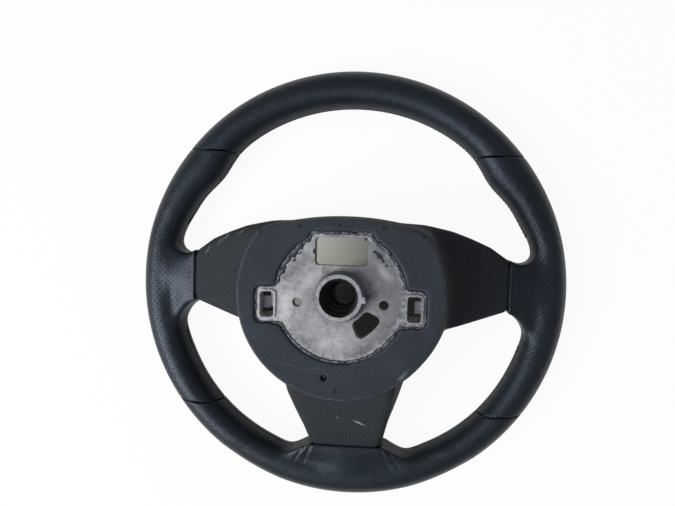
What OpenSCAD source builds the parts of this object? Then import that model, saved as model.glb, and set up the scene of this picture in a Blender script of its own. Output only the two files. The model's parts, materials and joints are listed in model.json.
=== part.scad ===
/* [Rim] */
// Outside diameter of the leather rim
wheel_d = 370; // [350:1:450]
// Width of the rim section, measured across the wheel
rim_w = 31.5; // [28:0.5:38]
// Depth of the rim section, front to back
rim_h = 33; // [28:0.5:38]
// Extra width of the rim at the thumb rests
thumb_swell = 5.5; // [0:0.5:8]
// Width taken off the rim just above the side spokes
finger_dip = 4; // [0:0.5:5]
// Width taken off the lower half of the rim between the spokes
low_trim = 1.5; // [0:0.5:3]
// Thickness of the leather
leather_t = 1.4; // [0.8:0.1:2.2]
// Open gap between two leather panels at a seam
seam_gap = 0.5; // [0.2:0.1:1]

/* [Hub] */
// Height of the casting's back face above the plane the rim rests on
plate_z = 90; // [80:1:110]
// Radius of the bare round face of the casting
plate_r = 48.5; // [44:0.5:54]
// Radius of the hub surround at its back edge
shield_r = 79.5; // [76:0.5:90]
// Height of the hub surround's crown above the axis
crown_y = 58; // [54:0.5:66]
// How far the foam stands proud of the casting's face
foam_proud = 1.8; // [0.8:0.1:3]

/* [Column fit] */
// Outside diameter of the boss ring
boss_d = 34.6; // [33:0.2:38]
// Diameter of the bore that takes the column's collar
collar_bore_d = 29; // [27:0.2:30]
// Diameter of the seat for the splined bush
bush_d = 26.6; // [25:0.2:26.8]
// Largest diameter of the splines
spline_d = 22; // [19:0.2:23]
// Number of splines
spline_count = 40; // [24:1:60]
// Diameter of the hole for the column bolt
bolt_hole_d = 17; // [12:0.5:17.5]
// Height of the boss ring above the casting's face
boss_proud = 10; // [4:0.5:14]

/* [Airbag fixing] */
// Distance between the middles of the two hook windows
hook_span = 111.2; // [108:0.2:114]
// Width of a hook window, across the wheel
hook_w = 10.5; // [10:0.5:11]
// Length of a hook window, along the wheel's upright
hook_len = 19.4; // [15:0.2:20]
// Width of a spring catch
catch_w = 9.3; // [6:0.1:12]
// Thickness of the spring steel
catch_t = 0.8; // [0.5:0.1:1]

/* [Hidden] */

// Rim: the section is an ellipse whose outer edge keeps to the wheel's circle
rim_z = rim_h / 2;
thumb_at = 38;
thumb_spread = 8;
dip_at = 13.5;
dip_spread = 7;
trim_at = -45;
trim_spread = 25;
ring_points = 16;
ring_step = 6;
corner_points = 4;
// Seams: middle angle, and how far the outer edge of the seam leads the middle
upper_seam = 43;
upper_slant = 4.75;
lower_seam = 38.8;
lower_slant = 4.55;
seam_trim = seam_gap / wheel_d * 180 / PI * 1.1;
// Leather to foam, and foam to casting
glue_gap = 0.7;
bond_gap = 0.3;
foam_inset = leather_t + glue_gap;

// Casting: hub flange under the foam, bare pad on top, ribs on the front, and the side view of
// each arm as points: share of the way from the flange to the rim core, and height
flange_t = 5;
pad_t = 4;
flange_r = shield_r - 6.5;
flange_crown = crown_y - 6;
flange_z = plate_z - pad_t - flange_t;
arm_sink = 0.7;
arm_top = plate_z - pad_t - arm_sink;
crown_r = 229;
shield_round = 14;
plate_drop = 0.5;
window_w = 40;
window_y = [23, 44];
window_r = 3;
window_rim = 2.7;
pad_fillet = 5;
pin_x = 32.7;
pin_y = -5.6;
pin_d = 7.4;
slot_r = [21.4, 35.6];
slot_ang = [-67, -27];
slot_round = 4.2;
hook_y = -7.8;
hook_round = 2.5;
lip_w = 1.5;
lip_h = 1.2;
tab_end = hook_span / 2 + hook_w / 2 + 3;
tab_h = hook_len + 7;
boss_base_d = boss_d + 5;
boss_front_z = 57;
boss_wall_d = 42;
collar_depth = 7;
key_w = 4.8;
key_out = 2.6;
rib_ang = [20, 40, 140, 160, 204, 228, 252, 288, 336];
rib_t = 3;
rib_h = 7;
arm_w = 28;
arm_y = 6;
low_arm_w = 34;
arm_web = 4;
arm_edge = 4;
core_w = 15;
core_h = 12;
core_t = 3;
core_r = wheel_d / 2 - rim_w / 2;
arm_foot = [[flange_r - 7, flange_z + arm_sink], [flange_r - 7, arm_top], [flange_r, arm_top]];
arm_end = [[core_r - 6, rim_z + 3], [core_r - 6, rim_z - 5]];
side_arm = concat(arm_foot, arm_points([[0.045, 70], [0.133, 49], [0.31, 39], [0.654, 25]]), arm_end,
    arm_points([[0.632, 15], [0.277, 28], [0.055, 40], [-0.033, 63]]));
low_arm = concat(arm_foot, arm_points([[0.078, 74], [0.21, 60], [0.432, 43], [0.676, 26]]), arm_end,
    arm_points([[0.654, 15], [0.366, 33], [0.144, 50], [0.011, 66]]));
round_fn = 96;
foam_fn = 60;

// Splined bush: its faces along the axis
bush_front_z = boss_front_z;
bush_back_z = plate_z - 4;
bush_step_z = bush_front_z + 9;
bush_pilot_z = bush_back_z - 6;
press_clear = 0.02;
spline_depth = 0.9;

// Spring catches: profile of the bent leaf, outward from the axis, and its pivot
pocket_out = hook_span / 2 + 11.3;
pocket_wall = 2;
pocket_depth = 18;
catch_foot = [pocket_out - 0.3 - catch_t / 2, flange_z - 17.4];
catch_bend = [catch_foot[0], flange_z - 13];
catch_nose = [hook_span / 2 + 0.4, flange_z - 3.4];
catch_lip = [hook_span / 2 + 6.4, flange_z - 2.9];

// Foam: outline radius, crown and height of each level of the hub surround
front_z = 24;
foam_z = plate_z + foam_proud;
edge_round = 1.8;
flare = 5.5;
crown_flare = 2.5;
waist_z = 60;
pocket_r = shield_r - 9.5;
pocket_crown = crown_y - 8;
foam_hole_d = 4.6;
foam_hole = [-10.7, -62];
foam_hole_depth = 9;

// Spokes: distance out, lower and upper edge, front and back face, and how much narrower each
// side is at the back face than at the front
rim_in = wheel_d / 2 - rim_w;
spoke_seam = rim_in - 21;
side_end = [-15.8, 28.5, 9, rim_h + 3];
side_from = shield_r - 17.5;
side_to = spoke_seam - 0.4;
side_spoke = [
    [side_from - 22, -31, 56.5, 27, waist_z],
    [side_from, -31, 55.5, 27, waist_z],
    [between(side_from, side_to, 0.33), -29, 50.8, 22, 55],
    [between(side_from, side_to, 0.555), -24.8, 45.2, 16, 49],
    [between(side_from, side_to, 0.785), -19.8, 38.3, 12, 42.5],
    concat([side_to], side_end)
];
side_root = [
    concat([spoke_seam + 0.4], side_end),
    [spoke_seam + 5.5, -16.2, 27.6, 8, rim_h + 2.8],
    [spoke_seam + 12.5, -18.6, 25.2, 6, rim_h + 2],
    [spoke_seam + 19.5, -25.5, 26, 4.5, rim_h + 1],
    [spoke_seam + 29.5, -41, 34, 4, rim_h - 1]
];
low_seam = rim_in - 17.1;
low_end = [-31, 31, 8, rim_h + 1.5];
low_from = shield_r - 1.5;
low_to = low_seam - 0.4;
low_spoke = [
    [low_from - 22, -55, 55, 24, plate_z - 2, 10],
    [low_from, -50.5, 50.5, 21, plate_z - 10, 9],
    [between(low_from, low_to, 0.31), -45, 45, 15, 66, 6],
    [between(low_from, low_to, 0.64), -37.6, 37.6, 11, 50, 3],
    concat([low_to], low_end)
];
low_root = [
    concat([low_seam + 0.4], low_end),
    [low_seam + 4.6, -33, 33, 7, rim_h + 1.4],
    [low_seam + 10.6, -38.5, 38.5, 5.5, rim_h + 1],
    [low_seam + 15.6, -46, 46, 4.5, rim_h + 0.4],
    [low_seam + 23.6, -61, 61, 4, rim_h - 1]
];
spoke_round = 6;
root_lap = 5;
cut_lap = 2;

// Value a share of the way from one to another
function between(a, b, share) = a + (b - a) * share;

// Side view points of an arm from shares of its reach
function arm_points(list) = [for (p = list) [between(flange_r, core_r - 6, p[0]), p[1]]];

// Gaussian hill used to shape the rim
function hill(a, at, spread) = exp(-pow((a - at) / spread, 2));

// Angle above the nearer side spoke
function lift(a) = asin(sin(a));

// Width of the rim section at an angle
function grip_w(a) =
    rim_w + thumb_swell * hill(lift(a), thumb_at, thumb_spread)
    - finger_dip * hill(lift(a), dip_at, dip_spread) - low_trim * hill(lift(a), trim_at, trim_spread);

// Point on the rim skin: angle, place round the section, and depth under the leather's face
function rim_point(a, t, inset) =
    let (half = grip_w(a) / 2, r = wheel_d / 2 - half + (half - inset) * cos(t))
    [r * cos(a), r * sin(a), rim_z + (rim_h / 2 - inset) * sin(t)];

// Ring of points across the rim, slanted so that its outer edge leads by slant degrees
function rim_ring(a, slant, inset) =
    [for (k = [0 : ring_points - 1])
        let (t = k * 360 / ring_points) rim_point(a + slant * cos(t), t, inset)];

// Rings of a panel from one seam to the next
function panel_rings(a0, s0, a1, s1, inset) =
    let (steps = ceil((a1 - a0) / ring_step))
    [for (j = [0 : steps]) let (u = j / steps)
        rim_ring(a0 + (a1 - a0) * u, s0 + (s1 - s0) * u, inset)];

function joined(list) = [for (part = list, point = part) point];

// Side faces of a stack of rings, with the first ring number and its direction
function skin_faces(rings, first, flip) =
    [for (j = [0 : rings - 2], k = [0 : ring_points - 1])
        let (n = ring_points, m = (k + 1) % n, a = first + j * n, b = a + n)
        flip ? [a + k, b + k, b + m, a + m] : [a + k, a + m, b + m, b + k]];

// Solid stretch of rim between two seams
module rim_bar(a0, s0, a1, s1, inset) {
    rings = panel_rings(a0, s0, a1, s1, inset);
    count = len(rings);
    last = (count - 1) * ring_points;
    caps = [[for (k = [ring_points - 1 : -1 : 0]) k], [for (k = [0 : ring_points - 1]) last + k]];
    polyhedron(joined(rings), concat(skin_faces(count, 0, false), caps), convexity = 6);
}

// Hollow stretch of rim leather between two seams, open at both ends
module rim_sleeve(a0, s0, a1, s1) {
    outer = panel_rings(a0, s0, a1, s1, 0);
    inner = panel_rings(a0, s0, a1, s1, leather_t);
    count = len(outer);
    half = count * ring_points;
    last = half - ring_points;
    start = [for (k = [0 : ring_points - 1]) let (m = (k + 1) % ring_points) [half + k, half + m, m, k]];
    end = [for (k = [0 : ring_points - 1]) let (m = (k + 1) % ring_points)
        [last + k, last + m, half + last + m, half + last + k]];
    polyhedron(concat(joined(outer), joined(inner)),
        concat(skin_faces(count, 0, false), skin_faces(count, half, true), start, end), convexity = 8);
}

// Whole foam core of the rim
module rim_foam() {
    count = 360 / ring_step;
    n = ring_points;
    rings = [for (j = [0 : count - 1]) rim_ring(j * ring_step, 0, foam_inset)];
    faces = [for (j = [0 : count - 1], k = [0 : n - 1])
        let (m = (k + 1) % n, a = j * n, b = ((j + 1) % count) * n) [a + k, a + m, b + m, b + k]];
    polyhedron(joined(rings), faces, convexity = 6);
}

// Rounded rectangular cross-section of a spoke, standing at distance s[0] out along X
function spoke_ring(s, inset) =
    let (r = spoke_round - inset / 2,
        y = [s[1] + inset + r, s[2] - inset - r],
        z = [s[3] + inset + r, s[4] - inset - r],
        lean = len(s) > 5 ? s[5] / (s[4] - s[3]) : 0)
    [for (corner = [0 : 3], k = [0 : corner_points - 1])
        let (t = corner * 90 + k * 90 / (corner_points - 1),
            right = corner == 0 || corner == 3,
            h = z[corner < 2 ? 1 : 0] + r * sin(t))
            [s[0], y[right ? 1 : 0] + r * cos(t) + (right ? -1 : 1) * lean * (h - s[3]), h]];

// Cross-sections with one more ahead of the first, a lap nearer the hub
function led_in(sections, lap) =
    concat([[for (i = [0 : 4]) sections[0][i] - (i == 0 ? lap : 0)]], sections);

// Spoke solid through its cross-sections
module spoke_run(sections, inset) {
    n = 4 * corner_points;
    for (i = [0 : len(sections) - 2])
        hull()
            polyhedron(
                concat(spoke_ring(sections[i], inset), spoke_ring(sections[i + 1], inset)),
                concat([[for (k = [n - 1 : -1 : 0]) k], [for (k = [0 : n - 1]) n + k]],
                    [for (k = [0 : n - 1]) [k, (k + 1) % n, n + (k + 1) % n, n + k]]));
}

// Puts a spoke drawn along X on the left, on the right or at the bottom
module on_left() { mirror([1, 0, 0]) children(); }
module on_bottom() { rotate([0, 0, -90]) children(); }

// Flat outline of the hub: a circle under a shallow crown, with rounded corners
module shield(r, crown) {
    offset(r = shield_round, $fn = foam_fn) offset(r = -shield_round, $fn = foam_fn)
        intersection() {
            circle(r = r, $fn = foam_fn);
            translate([0, crown - crown_r]) circle(r = crown_r, $fn = 3 * foam_fn);
        }
}

// Level of the hub surround: a band of the given height under z
module shield_band(r, crown, z, h) {
    translate([0, 0, z - h]) linear_extrude(h) shield(r, crown);
}

// Rounded rectangle between two corners
module rounded_box(low, high, r) {
    translate([low[0] + r, low[1] + r])
        offset(r = r, $fn = 24) square([high[0] - low[0] - 2 * r, high[1] - low[1] - 2 * r]);
}

// Outline of the bare face: a disc cut off flat above the window, a frame round the window and
// a tab on each side for the hooks, with the corners between them filled to a radius
module pad_outline(grow) {
    top = window_y[1] + window_rim;
    offset(r = grow - pad_fillet, $fn = 40) offset(r = pad_fillet, $fn = 40) {
        intersection() {
            translate([0, -plate_drop]) circle(r = plate_r, $fn = grow > 0 ? foam_fn : round_fn);
            translate([-plate_r, top - 2 * plate_r]) square(2 * plate_r);
        }
        rounded_box([-window_w / 2 - window_rim, 0], [window_w / 2 + window_rim, top], window_r);
        rounded_box([-tab_end, hook_y - tab_h / 2], [tab_end, hook_y + tab_h / 2], hook_round + 2);
    }
}

// Kidney-shaped opening at the lower right of the boss
module kidney() {
    offset(r = slot_round, $fn = 24) offset(r = -slot_round)
        intersection() {
            difference() {
                circle(r = slot_r[1], $fn = round_fn);
                circle(r = slot_r[0], $fn = round_fn);
            }
            polygon(concat([[0, 0]], [for (a = slot_ang) 60 * [cos(a), sin(a)]]));
        }
}

module hook_window(side) {
    x = side * hook_span / 2;
    rounded_box([x - hook_w / 2, hook_y - hook_len / 2], [x + hook_w / 2, hook_y + hook_len / 2],
                hook_round);
}

// Everything that is cut through the hub face
module face_openings() {
    rounded_box([-window_w / 2, window_y[0]], [window_w / 2, window_y[1]], window_r);
    kidney();
    for (side = [-1, 1]) {
        hook_window(side);
        translate([side * pin_x, pin_y]) circle(d = pin_d, $fn = 32);
    }
}

// Cast arm: a thin web along the back with a deeper rib along each edge
module arm(profile, w, y, grow) {
    for (edge = [-1, 1])
        translate([0, y + edge * (w - arm_edge) / 2, 0])
            rotate([90, 0, 0])
                linear_extrude(arm_edge + 2 * grow, center = true) offset(delta = grow) polygon(profile);
    translate([0, y, 0])
        rotate([90, 0, 0])
            linear_extrude(w - arm_edge, center = true)
                intersection() {
                    offset(delta = grow) polygon(profile);
                    translate([0, arm_web + grow]) offset(delta = grow) polygon(profile);
                }
}

// Channel-shaped ring inside the rim, open to the front
module core_profile(grow) {
    offset(delta = grow)
        polygon([
            [core_r - core_w / 2, rim_z - core_h / 2],
            [core_r - core_w / 2 + core_t, rim_z - core_h / 2],
            [core_r - core_w / 2 + core_t + 1, rim_z + core_h / 2 - core_t],
            [core_r + core_w / 2 - core_t - 1, rim_z + core_h / 2 - core_t],
            [core_r + core_w / 2 - core_t, rim_z - core_h / 2],
            [core_r + core_w / 2, rim_z - core_h / 2],
            [core_r + core_w / 2 - 1, rim_z + core_h / 2],
            [core_r - core_w / 2 + 1, rim_z + core_h / 2]
        ]);
}

// Cast frame of the hub, arms and rim, grown by a gap where the foam has to clear it
module skeleton(grow, fn) {
    translate([0, 0, flange_z - grow])
        linear_extrude(flange_t + 2 * grow) offset(delta = grow) shield(flange_r, flange_crown);
    arm(side_arm, arm_w, arm_y, grow);
    on_left() arm(side_arm, arm_w, arm_y, grow);
    on_bottom() arm(low_arm, low_arm_w, 0, grow);
    rotate_extrude($fn = fn) core_profile(grow);
}

// Box wall round a hook window on the front of the casting
module hook_pocket() {
    y0 = hook_y - hook_len / 2;
    y1 = hook_y + hook_len / 2;
    x0 = hook_span / 2 - hook_w / 2;
    translate([0, 0, flange_z - pocket_depth])
        linear_extrude(pocket_depth + 1)
            difference() {
                translate([x0, y0 - pocket_wall])
                    square([pocket_out + pocket_wall - x0, y1 - y0 + 2 * pocket_wall]);
                translate([x0 - 1, y0]) square([pocket_out - x0 + 1, y1 - y0]);
            }
}

// Hub, arms and rim core, die-cast in one piece with the column boss
module armature() {
    color("silver") difference() {
        union() {
            skeleton(0, round_fn);
            translate([0, 0, flange_z + flange_t - 1]) linear_extrude(pad_t + 1) pad_outline(0);
            translate([0, 0, plate_z - 1])
                cylinder(h = boss_proud - 2, d1 = boss_base_d, d2 = boss_d, $fn = round_fn);
            translate([0, 0, boss_front_z])
                cylinder(h = plate_z - boss_front_z, d = boss_wall_d, $fn = round_fn);
            translate([0, 0, plate_z]) cylinder(h = boss_proud, d = boss_d, $fn = round_fn);
            translate([0, -key_w / 2 - 1, plate_z - 1])
                cube([boss_d / 2 + key_out, key_w, boss_proud + 1]);
            for (a = rib_ang)
                rotate([0, 0, a])
                    translate([boss_wall_d / 2 - 2, -rib_t / 2, flange_z - rib_h])
                        cube([flange_r - 13 - boss_wall_d / 2, rib_t, rib_h + 1]);
            for (side = [0, 1]) mirror([side, 0, 0]) {
                hook_pocket();
                translate([0, 0, plate_z - 1])
                    linear_extrude(1 + lip_h) offset(delta = lip_w) hook_window(1);
            }
        }
        translate([0, 0, flange_z - rib_h - 1])
            linear_extrude(plate_z - flange_z + rib_h + 4) face_openings();
        for (side = [0, 1]) mirror([side, 0, 0])
            translate([hook_span / 2 - hook_w / 2, hook_y - hook_len / 2, flange_z - pocket_depth - 1])
                cube([pocket_out - hook_span / 2 + hook_w / 2, hook_len, pocket_depth + 1]);
        translate([0, 0, boss_front_z - 1]) cylinder(h = plate_z, d = bush_d, $fn = round_fn);
        translate([0, 0, plate_z + boss_proud - collar_depth])
            cylinder(h = collar_depth + 1, d = collar_bore_d, $fn = round_fn);
    }
}

// Star outline of the splines: points in and out in turn
function spline_star(outer, depth) =
    [for (i = [0 : 4 * spline_count - 1])
        let (r = (floor(i / 2) % 2 == 0) ? outer / 2 : outer / 2 - depth, a = (i + 0.5) * 90 / spline_count)
        r * [cos(a), sin(a)]];

// Steel bush cast into the boss: pilot bore, splines and the hole for the column bolt
module splined_bush() {
    color("dimgray") difference() {
        translate([0, 0, bush_front_z])
            cylinder(h = bush_back_z - bush_front_z, d = bush_d - 2 * press_clear, $fn = round_fn);
        translate([0, 0, bush_front_z - 1]) cylinder(h = bush_back_z, d = bolt_hole_d, $fn = 64);
        translate([0, 0, bush_step_z])
            linear_extrude(bush_back_z - bush_step_z + 1) polygon(spline_star(spline_d, spline_depth));
        translate([0, 0, bush_pilot_z]) cylinder(h = 10, d = spline_d + 1, $fn = 64);
    }
}

// Outer form of the hub surround with its rounded back edge
module hub_form() {
    hull() {
        shield_band(shield_r - edge_round, crown_y - edge_round, foam_z, 0.3);
        shield_band(shield_r - 0.3 * edge_round, crown_y - 0.3 * edge_round,
                    foam_z - 0.35 * edge_round, 0.3);
        shield_band(shield_r, crown_y, foam_z - edge_round, 0.5);
        shield_band(shield_r + flare, crown_y + crown_flare, waist_z, 4);
        shield_band(shield_r + flare - 1, crown_y + crown_flare - 1, front_z + 1, 1);
    }
}

// Soft moulded body over the casting: rim core, spokes and hub surround in one moulding
module foam_body() {
    color("#33383f") difference() {
        union() {
            rim_foam();
            hub_form();
            spoke_run(side_spoke, 0);
            on_left() spoke_run(side_spoke, 0);
            on_bottom() spoke_run(low_spoke, 0);
            spoke_run(led_in(side_root, root_lap), foam_inset);
            on_left() spoke_run(led_in(side_root, root_lap), foam_inset);
            on_bottom() spoke_run(led_in(low_root, root_lap), foam_inset);
        }
        skeleton(bond_gap, foam_fn);
        translate([0, 0, flange_z]) linear_extrude(40) pad_outline(bond_gap);
        translate([0, 0, front_z - 1])
            linear_extrude(flange_z - front_z + 1 + bond_gap) shield(pocket_r, pocket_crown);
        for (side = [0, 1]) mirror([side, 0, 0])
            translate([hook_span / 2, hook_y - hook_len / 2 - pocket_wall - bond_gap, front_z - 1])
                cube([pocket_out + pocket_wall + bond_gap - hook_span / 2,
                    hook_len + 2 * (pocket_wall + bond_gap), flange_z - front_z + 1 + bond_gap]);
        translate([foam_hole[0], foam_hole[1], foam_z - foam_hole_depth])
            cylinder(h = 20, d = foam_hole_d, $fn = 24);
    }
}

// Plain leather over the top of the rim
module leather_top() {
    color("#23262b")
        rim_sleeve(upper_seam + seam_trim, -upper_slant, 180 - upper_seam - seam_trim, upper_slant);
}

// Leather over a side of the rim, with a collar round the root of the spoke
module leather_side() {
    difference() {
        union() {
            rim_bar(-lower_seam + seam_trim, lower_slant, upper_seam - seam_trim, -upper_slant, 0);
            spoke_run(side_root, 0);
        }
        rim_bar(-lower_seam - 5, lower_slant, upper_seam + 5, -upper_slant, leather_t);
        spoke_run(led_in(side_root, cut_lap), leather_t);
    }
}

module leather_right() { color("#23262b") leather_side(); }

module leather_left() { color("#23262b") on_left() leather_side(); }

// Leather over the bottom of the rim, with a tongue up to the foot of the bottom spoke
module leather_bottom() {
    color("#23262b") difference() {
        union() {
            rim_bar(180 + lower_seam + seam_trim, -lower_slant, 360 - lower_seam - seam_trim, lower_slant, 0);
            on_bottom() spoke_run(low_root, 0);
        }
        rim_bar(175 + lower_seam, -lower_slant, 365 - lower_seam, lower_slant, leather_t);
        on_bottom() spoke_run(led_in(low_root, cut_lap), leather_t);
    }
}

// Strip of sheet steel along a bent line, seen from the side
module strip(points) {
    for (i = [0 : len(points) - 2])
        let (a = points[i], b = points[i + 1], d = (b - a) / norm(b - a), n = [-d[1], d[0]] * catch_t / 2)
            polygon([a - n, b - n, b + n, a + n]);
    for (i = [1 : len(points) - 2]) translate(points[i]) circle(d = catch_t, $fn = 16);
}

// Spring-steel catch that snaps over an airbag hook
module catch_leaf() {
    translate([0, hook_y + catch_w / 2, 0])
        rotate([90, 0, 0])
            linear_extrude(catch_w) strip([catch_foot, catch_bend, catch_nose, catch_lip]);
}

module catch_right() { color("lightsteelblue") catch_leaf(); }

module catch_left() { color("lightsteelblue") on_left() catch_leaf(); }

armature();
splined_bush();
foam_body();
leather_top();
leather_left();
leather_right();
leather_bottom();
catch_left();
catch_right();
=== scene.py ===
import json
import math
import bpy
import numpy as np
from mathutils import Matrix, Vector

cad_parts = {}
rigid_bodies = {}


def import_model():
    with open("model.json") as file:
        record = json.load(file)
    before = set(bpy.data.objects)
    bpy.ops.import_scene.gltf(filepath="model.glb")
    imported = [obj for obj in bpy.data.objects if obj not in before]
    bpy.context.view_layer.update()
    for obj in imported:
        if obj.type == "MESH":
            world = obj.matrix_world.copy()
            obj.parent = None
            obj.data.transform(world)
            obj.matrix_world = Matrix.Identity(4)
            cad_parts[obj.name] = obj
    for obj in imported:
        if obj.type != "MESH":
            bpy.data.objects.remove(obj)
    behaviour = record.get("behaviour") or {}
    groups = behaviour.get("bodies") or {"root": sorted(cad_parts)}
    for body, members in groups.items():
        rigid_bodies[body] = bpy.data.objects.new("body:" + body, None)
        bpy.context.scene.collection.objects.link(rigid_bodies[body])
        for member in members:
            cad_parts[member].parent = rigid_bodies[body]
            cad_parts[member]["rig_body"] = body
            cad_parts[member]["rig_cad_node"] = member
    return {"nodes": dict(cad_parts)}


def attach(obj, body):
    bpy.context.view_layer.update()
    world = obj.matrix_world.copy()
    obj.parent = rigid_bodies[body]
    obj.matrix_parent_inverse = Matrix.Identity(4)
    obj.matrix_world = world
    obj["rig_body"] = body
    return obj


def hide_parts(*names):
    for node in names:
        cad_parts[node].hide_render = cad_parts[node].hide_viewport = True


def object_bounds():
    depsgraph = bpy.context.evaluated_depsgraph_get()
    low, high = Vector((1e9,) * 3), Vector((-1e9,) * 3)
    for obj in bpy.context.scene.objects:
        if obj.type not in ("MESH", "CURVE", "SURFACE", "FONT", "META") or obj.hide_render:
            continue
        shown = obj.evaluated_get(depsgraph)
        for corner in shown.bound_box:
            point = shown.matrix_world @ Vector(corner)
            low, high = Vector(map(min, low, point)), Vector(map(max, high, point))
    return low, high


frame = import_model()
cad_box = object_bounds()

# Viewpoint: nearly straight above the back of the wheel, half a metre up, with the wheel's
# 12 o'clock side at the top of the picture.
bpy.ops.object.camera_add(location=(0, 0, 0))
viewpoint = bpy.context.object
viewpoint.name = "viewpoint"
viewpoint.matrix_world = Matrix((
    (0.9974, -0.0353, 0.0622, 0.0544),
    (0.0317, 0.9978, 0.0582, 0.0548),
    (-0.0641, -0.0561, 0.9964, 0.4957),
    (0, 0, 0, 1)))
# the picture is 675 pixels wide and the sensor 36 mm
FOCAL_PIXELS = 549.2
PICTURE_PIXELS = 675
SENSOR_WIDTH = 36
viewpoint.data.sensor_width = SENSOR_WIDTH
viewpoint.data.lens = FOCAL_PIXELS * SENSOR_WIDTH / PICTURE_PIXELS
viewpoint.data.shift_x = -0.0635
viewpoint.data.shift_y = 0.005
viewpoint.data.clip_start = 0.01
bpy.context.scene.camera = viewpoint


# Floor: a plain pale tabletop under the wheel. The camera sees it as white, and as beige with painted light
# and shade where it lies under the hub; the light that falls on it still carries the wheel's shadow.
def linear(code):
    channels = [int(code[k:k + 2], 16) / 255 for k in (1, 3, 5)]
    return tuple(c / 12.92 if c < 0.04045 else ((c + 0.055) / 1.055) ** 2.4 for c in channels) + (1,)


def add(tree, kind, settings=None, **sockets):
    made = tree.nodes.new(kind)
    for name, value in (settings or {}).items():
        setattr(made, name, value)
    for name, value in sockets.items():
        name = name.replace("_", " ")
        by_number = name.startswith("in") and name[2:].isdigit()
        socket = made.inputs[int(name[2:]) if by_number else name]
        if isinstance(value, bpy.types.NodeSocket):
            tree.links.new(value, socket)
        else:
            socket.default_value = value
    return made


def blank_material(name):
    material = bpy.data.materials.new(name)
    material.use_nodes = True
    material.node_tree.nodes.clear()
    return material, material.node_tree


bpy.ops.object.select_all(action="DESELECT")
bpy.ops.mesh.primitive_plane_add(size=5, location=(0, 0, 0))
tabletop = bpy.context.object
tabletop.name = "tabletop"
bpy.ops.object.transform_apply(location=True, rotation=True, scale=True)
# laminate: matt and nearly white, with no grain that shows from half a metre
pale, tree = blank_material("pale laminate tabletop")
rays = add(tree, "ShaderNodeLightPath")
seen = add(tree, "ShaderNodeMath", {"operation": "MAXIMUM"}, in0=rays.outputs["Is Camera Ray"],
           in1=rays.outputs["Is Glossy Ray"])
seen = add(tree, "ShaderNodeMath", {"operation": "MAXIMUM"}, in0=seen.outputs[0],
           in1=rays.outputs["Is Transmission Ray"])
seen = add(tree, "ShaderNodeMath", {"operation": "MULTIPLY"}, in0=seen.outputs[0], in1=0.94)
# the oval of floor that lies in the hub's shade, in metres
place = add(tree, "ShaderNodeTexCoord").outputs["Object"]
under = add(tree, "ShaderNodeMapping", {"vector_type": "TEXTURE"}, Vector=place,
            Location=(-0.008, -0.020, 0), Scale=(0.084, 0.070, 1))
under = add(tree, "ShaderNodeVectorMath", {"operation": "LENGTH"}, in0=under.outputs[0])
open_floor = add(tree, "ShaderNodeMapRange", {"interpolation_type": "SMOOTHSTEP"},
                 in0=under.outputs["Value"], From_Min=0.94, From_Max=1.04)
# painted light on the floor: lightest below the window at the top of the plate, and darker away from it
away = add(tree, "ShaderNodeVectorMath", {"operation": "DISTANCE"}, in0=place,
           in1=(-0.060, 0.045, 0))
away = add(tree, "ShaderNodeMapRange", in0=away.outputs["Value"], From_Min=0.015, From_Max=0.085,
           To_Min=0.47, To_Max=0.12)
# painted shade on the floor: darkest below the slot and below the bore
dusk = add(tree, "ShaderNodeVectorMath", {"operation": "DISTANCE"}, in0=place,
           in1=(0.024, -0.028, 0))
dusk = add(tree, "ShaderNodeMapRange", {"interpolation_type": "SMOOTHSTEP"}, in0=dusk.outputs["Value"],
           From_Min=0.038, From_Max=0.056, To_Min=0.12, To_Max=1.0)
painted_bore_shade = add(tree, "ShaderNodeVectorMath", {"operation": "DISTANCE"}, in0=place,
             in1=(-0.007, -0.006, 0))
painted_bore_shade = add(tree, "ShaderNodeMapRange", {"interpolation_type": "SMOOTHSTEP"}, in0=painted_bore_shade.outputs["Value"],
             From_Min=0.017, From_Max=0.022, To_Min=0.07, To_Max=1.0)
dusk = add(tree, "ShaderNodeMath", {"operation": "MINIMUM"}, in0=dusk.outputs[0], in1=painted_bore_shade.outputs[0])
shaded = add(tree, "ShaderNodeMath", {"operation": "MULTIPLY"}, in0=away.outputs[0], in1=dusk.outputs[0])
level = add(tree, "ShaderNodeMapRange", in0=open_floor.outputs[0], To_Min=shaded.outputs[0], To_Max=1.0)
tint = add(tree, "ShaderNodeMix", {"data_type": "RGBA"}, in0=open_floor.outputs[0], in6=linear("#fffdf2"),
           in7=(1, 1, 1, 1))
matt = add(tree, "ShaderNodeBsdfDiffuse", Color=linear("#efece3"))
glow = add(tree, "ShaderNodeEmission", Color=tint.outputs[2], Strength=level.outputs[0])
mixed = add(tree, "ShaderNodeMixShader", in0=seen.outputs[0], in1=matt.outputs[0], in2=glow.outputs[0])
add(tree, "ShaderNodeOutputMaterial", Surface=mixed.outputs[0])
tabletop.data.materials.append(pale)

# Light: an even pale surround and one broad soft light from the left, as from a window. The camera
# sees the surround as white, and the wheel is lit by it at about a third of that.
world = bpy.data.worlds.new("pale surround")
bpy.context.scene.world = world
world.use_nodes = True
tree = world.node_tree
tree.nodes.clear()
rays = add(tree, "ShaderNodeLightPath")
level = add(tree, "ShaderNodeMapRange", in0=rays.outputs["Is Camera Ray"], To_Min=0.35, To_Max=1.0)
sky = add(tree, "ShaderNodeBackground", Color=linear("#f1f5fb"), Strength=level.outputs[0])
add(tree, "ShaderNodeOutputWorld", Surface=sky.outputs[0])
window = Vector((-1.2, -0.55, 1.25))
hub = Vector((0, 0, 0.05))
bpy.ops.object.light_add(type="AREA", location=window)
lamp = bpy.context.object
lamp.name = "window light"
lamp.data.shape = "RECTANGLE"
lamp.data.size = 0.9
lamp.data.size_y = 0.9
lamp.data.energy = 32
lamp.data.color = linear("#f4f8ff")[:3]
lamp.rotation_euler = (hub - window).to_track_quat("-Z", "Y").to_euler()
bpy.context.scene.view_settings.view_transform = "Standard"
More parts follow.
